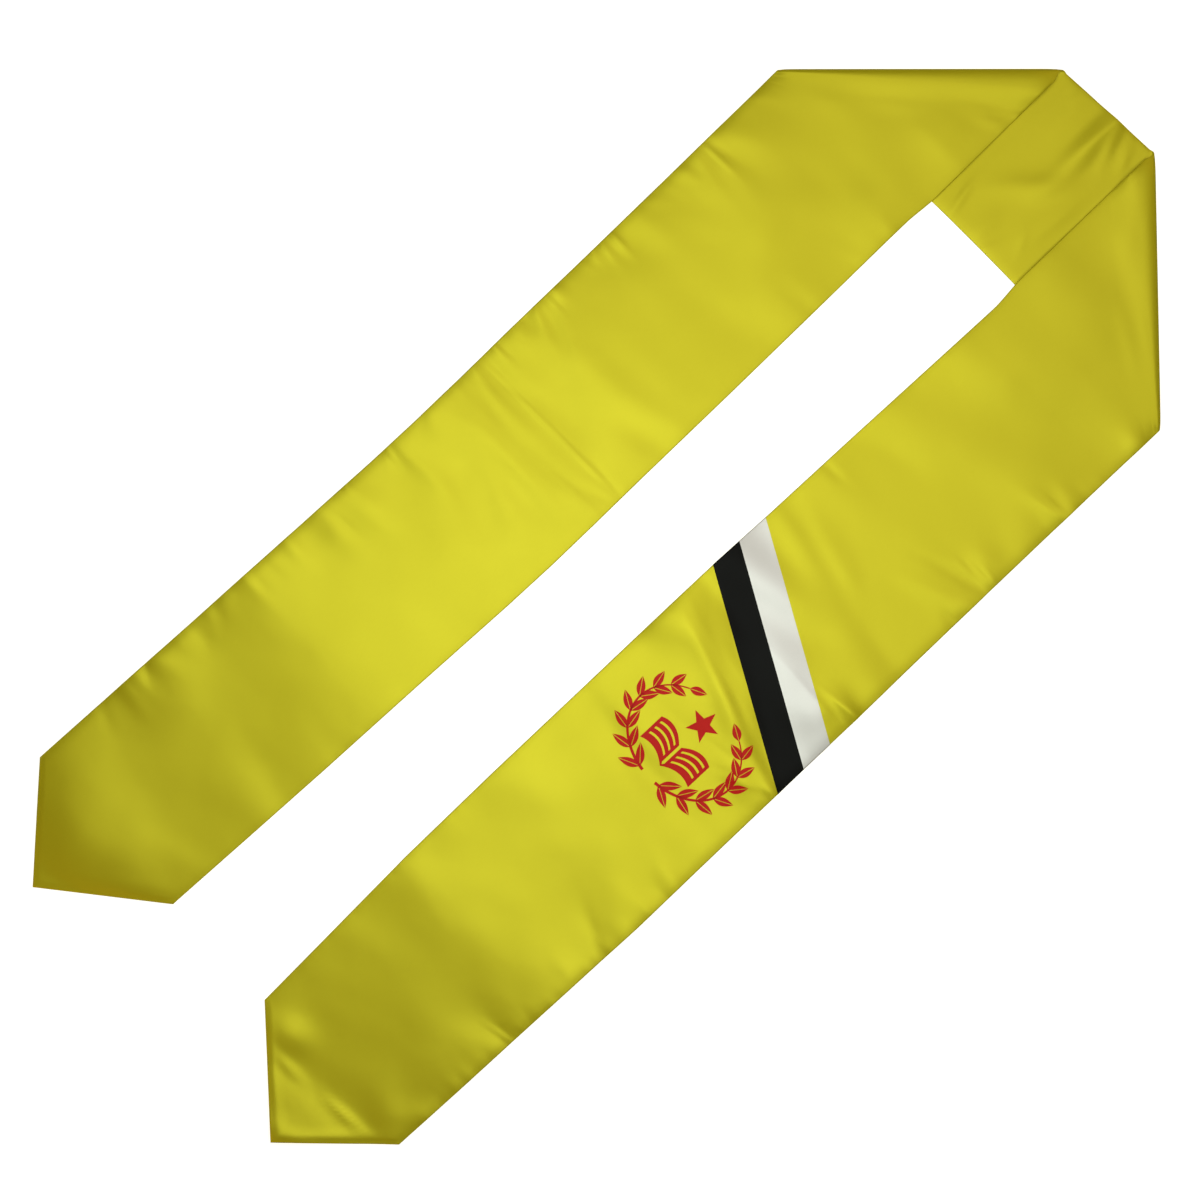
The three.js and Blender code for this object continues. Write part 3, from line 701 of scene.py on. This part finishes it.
def makeStripe(name, replaced, finish, rise):
    foot = stripes["height"] + rise - stripeSlope * (band["width"] + stripes["beyond"]) - stripes["margin"]
    top = stripes["height"] + rise + stripes["width"] + stripeSlope * stripes["beyond"] + stripes["margin"]
    rows = [row for row in rightRows if foot < row[0]["middle"].y < top]
    bm, places = gridOver(rows, False)
    for vertex, (place, inner) in places.items():
        vertex.co = surfacePoint(place, 1, False)
    bmesh.ops.recalc_face_normals(bm, faces=bm.faces)
    if sum(face.normal.z for face in bm.faces) < 0:
        bmesh.ops.reverse_faces(bm, faces=bm.faces)
    for edgeRise, side in ((0, -1), (stripes["width"], 1)):
        corner = Vector((band["neckGap"] / 2, stripes["height"] + rise + edgeRise, 0))
        normal = Vector((stripeSlope, 1, 0)).normalized() * side
        everything = bm.verts[:] + bm.edges[:] + bm.faces[:]
        bmesh.ops.bisect_plane(bm, geom=everything, plane_co=corner, plane_no=normal, clear_outer=True)
    bm.normal_update()
    lifts = {vertex: vertex.normal.copy() for vertex in bm.verts}
    for vertex, normal in lifts.items():
        vertex.co += normal * (stripes["lift"] + stripes["skin"])
    bmesh.ops.solidify(bm, geom=bm.faces[:], thickness=stripes["skin"])
    return finishPiece(bm, name, replaced, materials[finish])


blackStripe = makeStripe("blackStripe", "black_stripe", "blackDye", 0)
whiteStripe = makeStripe("whiteStripe", "white_stripe", "whiteDye", stripes["width"])

emblem = {
    "width": 104.0,
    "tall": 82.0,
    "middle": 108.9,
    "drop": 15.0,  # from the foot of the black stripe to the top of the emblem
    "leafPairs": 7,
    "leafLength": 0.19,  # this and the next sizes are shares of the emblem's height
    "leafWidth": 0.07,
    "stemWidth": 0.02,
    "starRadius": 0.14,
    "starRise": 0.2,
    "pageHeight": 0.34,
    "bookDrop": 0.27,
    "pageWidth": 0.22,  # this and the next size are shares of its width
    "spineWidth": 0.01,
    "pageLift": 0.34,  # share of the page's height by which its outer corner rises
    "starInner": 0.42,  # share of the star's radius at its inner corners
    "leafShrink": 0.22,  # how much shorter the last leaf is
    "leafSpread": 0.62,
    "sprayStart": 8,
    "sprayEnd": 146,
    "vein": 0.35,  # bare line down the middle of each leaf
    "slits": (3, 6, 9),  # bare rows of a page, which stand for lines of text
    "pageRows": 12,
    "lift": 0.15,
    "skin": 0.06,
}
emblemX = emblem["middle"]
stripeFoot = stripes["height"] - stripeSlope * (emblemX - band["neckGap"] / 2)
emblemY = stripeFoot - emblem["drop"] - emblem["tall"] / 2
leafLength = emblem["leafLength"] * emblem["tall"]


def acrossOf(leg, x, y):
    outer = rowValue(leg["edges"], y, 1)
    inner = rowValue(leg["edges"], y, 2)
    return (outer - abs(x)) / (outer - inner)


def layPrint(bm, name, replaced):
    # drops a flat drawing on the cloth of the right leg and gives it a skin
    uvMap = bm.loops.layers.uv.new("cloth")
    bmesh.ops.translate(bm, vec=(emblemX, emblemY, 0), verts=bm.verts)
    bmesh.ops.recalc_face_normals(bm, faces=bm.faces)
    turned = [face for face in bm.faces if face.normal.z < 0]
    bmesh.ops.reverse_faces(bm, faces=turned)
    for face in bm.faces:
        for loop in face.loops:
            loop[uvMap].uv = (loop.vert.co.x * millimetre, loop.vert.co.y * millimetre)
    for vertex in bm.verts:
        x, y = vertex.co.x, vertex.co.y
        surface = legHeight(rightLeg, x, y, acrossOf(rightLeg, x, y)) + band["halfStack"]
        vertex.co.z = surface + emblem["lift"] + emblem["skin"]
    bmesh.ops.solidify(bm, geom=bm.faces[:], thickness=emblem["skin"])
    return finishPiece(bm, name, replaced, materials["redDye"])


def addGrid(bm, across, along, place):
    # a grid whose two shares, each from 0 to 1, are sent to their place in the drawing
    made = bmesh.ops.create_grid(bm, x_segments=across, y_segments=along, size=0.5)["verts"]
    for vertex in made:
        vertex.co = place(vertex.co.x + 0.5, vertex.co.y + 0.5)
    bmesh.ops.remove_doubles(bm, verts=made, dist=0.02)


def stemPlace(side, share):
    radiusX = emblem["width"] / 2 - 0.62 * leafLength
    radiusY = emblem["tall"] / 2 - 0.55 * leafLength
    angle = radians(lerp(emblem["sprayStart"], emblem["sprayEnd"], share) - 90)
    return Vector((side * radiusX * cos(angle), radiusY * sin(angle), 0))


def addLeaf(bm, foot, heading, length, width):
    turn = Matrix.Translation(foot) @ Matrix.Rotation(heading, 4, "Z")
    for half in (-1, 1):

        def place(a, b):
            reach = width * 2 * b * (1 - b) * (1.25 - 0.5 * b)
            vein = min(emblem["vein"] / 2, reach)
            return turn @ Vector((half * lerp(vein, reach, a), b * length, 0))

        addGrid(bm, 3, 12, place)


def makeSpray(name, replaced, side):
    bm = bmesh.new()
    leafWidth = emblem["leafWidth"] * emblem["tall"]
    wall = emblem["stemWidth"] * emblem["tall"]

    def stem(a, b):
        centre = stemPlace(side, b)
        return centre + centre.normalized() * wall * (a - 0.5) * lerp(1.3, 0.5, b)

    addGrid(bm, 2, 60, stem)
    for pair in range(emblem["leafPairs"] + 1):
        share = lerp(0.03, 1, pair / emblem["leafPairs"])
        ahead = stemPlace(side, share + 0.02) - stemPlace(side, share - 0.02)
        heading = Vector((0, 1)).angle_signed(ahead.to_2d()) * -1
        sides = (0,) if pair == emblem["leafPairs"] else (-1, 1)
        length = leafLength * (1 - emblem["leafShrink"] * share)
        for leafSide in sides:
            spread = leafSide * emblem["leafSpread"]
            addLeaf(bm, stemPlace(side, share), heading + spread, length, leafWidth)
    return layPrint(bm, name, replaced)


def makeStar():
    bm = bmesh.new()
    radius = emblem["starRadius"] * emblem["tall"]
    bmesh.ops.create_circle(bm, segments=10, radius=radius, cap_ends=True, cap_tris=True)
    rim = [vertex for vertex in bm.verts if vertex.co.length > 0.5 * radius]
    rim.sort(key=lambda vertex: Vector((0, 1)).angle_signed(vertex.co.to_2d()) % (2 * pi))
    for step, vertex in enumerate(rim):
        reach = emblem["starInner"] if step % 2 else 1.0
        angle = pi / 2 + step * pi / 5
        vertex.co = Vector((cos(angle), sin(angle), 0)) * radius * reach
    bmesh.ops.subdivide_edges(bm, edges=bm.edges[:], cuts=4, use_grid_fill=True)
    bmesh.ops.translate(bm, vec=(0, emblem["starRise"] * emblem["tall"], 0), verts=bm.verts)
    return layPrint(bm, "emblemStar", "emblem_star")


def makeBook():
    bm = bmesh.new()
    page = emblem["pageWidth"] * emblem["width"]
    tall = emblem["pageHeight"] * emblem["tall"]
    lift = emblem["pageLift"] * tall
    spine = emblem["spineWidth"] * emblem["width"]

    def pageEdges(a):
        # the lower and the upper edge of a page, from the spine out
        low = lift * 2 * a * (1 - a) * 0.95 + lift * 0.4 * a * a
        high = tall - lift * (1 - a) ** 2 + lift * 0.1 * 2 * a * (1 - a) - lift * 0.5 * a * a
        return low, high

    for side in (-1, 1):

        def place(a, b):
            inner = spine if b > 0.12 else 0.0
            return Vector((side * lerp(inner, page, a), lerp(*pageEdges(a), b), 0))

        before = set(bm.faces)
        addGrid(bm, 10, emblem["pageRows"], place)
        pageFaces = [face for face in bm.faces if face not in before]
        bare = []
        for face in pageFaces:
            middle = face.calc_center_median()
            a = (abs(middle.x) - spine) / (page - spine)
            low, high = pageEdges(a)
            row = int((middle.y - low) / (high - low) * emblem["pageRows"])
            if 0.12 < a < 0.88 and row in emblem["slits"]:
                bare.append(face)
        bmesh.ops.delete(bm, geom=bare, context="FACES")
    bmesh.ops.remove_doubles(bm, verts=bm.verts, dist=0.02)
    bmesh.ops.translate(bm, vec=(0, -emblem["bookDrop"] * emblem["tall"], 0), verts=bm.verts)
    return layPrint(bm, "emblemBook", "emblem_book")


sprayLeft = makeSpray("emblemSprayLeft", "emblem_spray_left", -1)
sprayRight = makeSpray("emblemSprayRight", "emblem_spray_right", 1)
emblemStar = makeStar()
emblemBook = makeBook()

# Studio
studio = {
    "floorSize": 12.0,
    "floorColour": (0.9, 0.9, 0.9, 1),
    "floorGlow": 0.8,
    "floorRoughness": 0.9,
    "floorDrop": 0.0002,
    "softboxes": [  # place, turn about x in degrees, size across and along, power and colour
        ((0.0, 0.22, 0.75), 0, (0.8, 0.873), 2.46, (1.0, 1.0, 0.97)),
        ((0.0, -0.114, 0.799), 0, (0.6, 0.268), 1.36, (0.92, 1.07, 1.0)),
        ((0.0, 0.8, 0.35), -66, (0.7, 0.3), 0.28, (1.0, 0.7, 0.4)),
        ((0.0, -0.8, 0.35), 66, (0.7, 0.3), 0.42, (1.0, 0.58, 0.26)),
    ],
    "fillColour": (1.0, 0.88, 0.68, 1),
    "fillStrength": 0.13,
    "cameraPlace": (0.00067, -0.0322, 3.5),
    "cameraTurn": 46.9,
    "frameWidth": 0.7879,
    "sensorWidth": 36.0,
    "farLimit": 50.0,
}

floorMaterial = bpy.data.materials.new("paleFloor")
floorMaterial.use_nodes = True
floorShader = floorMaterial.node_tree.nodes["Principled BSDF"]
floorShader.inputs["Base Color"].default_value = studio["floorColour"]
floorShader.inputs["Roughness"].default_value = studio["floorRoughness"]
floorShader.inputs["Emission Color"].default_value = (1, 1, 1, 1)
floorShader.inputs["Emission Strength"].default_value = studio["floorGlow"]

floorForm = bmesh.new()
bmesh.ops.create_grid(floorForm, x_segments=1, y_segments=1, size=studio["floorSize"] / 2)
bmesh.ops.translate(floorForm, vec=(0, 0, -studio["floorDrop"]), verts=floorForm.verts)
floorMesh = bpy.data.meshes.new("floor")
floorForm.to_mesh(floorMesh)
floorForm.free()
floorMesh.materials.append(floorMaterial)
floor = bpy.data.objects.new("floor", floorMesh)
bpy.context.scene.collection.objects.link(floor)
floor.visible_glossy = False  # the glow of the floor doesn't shine along the seams

for place, turn, size, power, colour in studio["softboxes"]:
    light = bpy.data.lights.new("softbox", "AREA")
    light.shape = "RECTANGLE"
    light.size, light.size_y = size
    light.energy = power
    light.color = colour
    softbox = bpy.data.objects.new("softbox", light)
    softbox.location = place
    softbox.rotation_euler.x = radians(turn)
    softbox.visible_camera = False
    bpy.context.scene.collection.objects.link(softbox)

world = bpy.data.worlds.new("studio")
world.use_nodes = True
background = world.node_tree.nodes["Background"]
background.inputs["Color"].default_value = studio["fillColour"]
background.inputs["Strength"].default_value = studio["fillStrength"]
bpy.context.scene.world = world

cameraData = bpy.data.cameras.new("camera")
cameraData.sensor_width = studio["sensorWidth"]
cameraData.lens = studio["sensorWidth"] * studio["cameraPlace"][2] / studio["frameWidth"]
cameraData.clip_end = studio["farLimit"]
camera = bpy.data.objects.new("camera", cameraData)
camera.location = studio["cameraPlace"]
camera.rotation_euler = (0, 0, radians(studio["cameraTurn"]))
bpy.context.scene.collection.objects.link(camera)
bpy.context.scene.camera = camera
bpy.context.scene.view_settings.view_transform = "Standard"
print("studio set up")
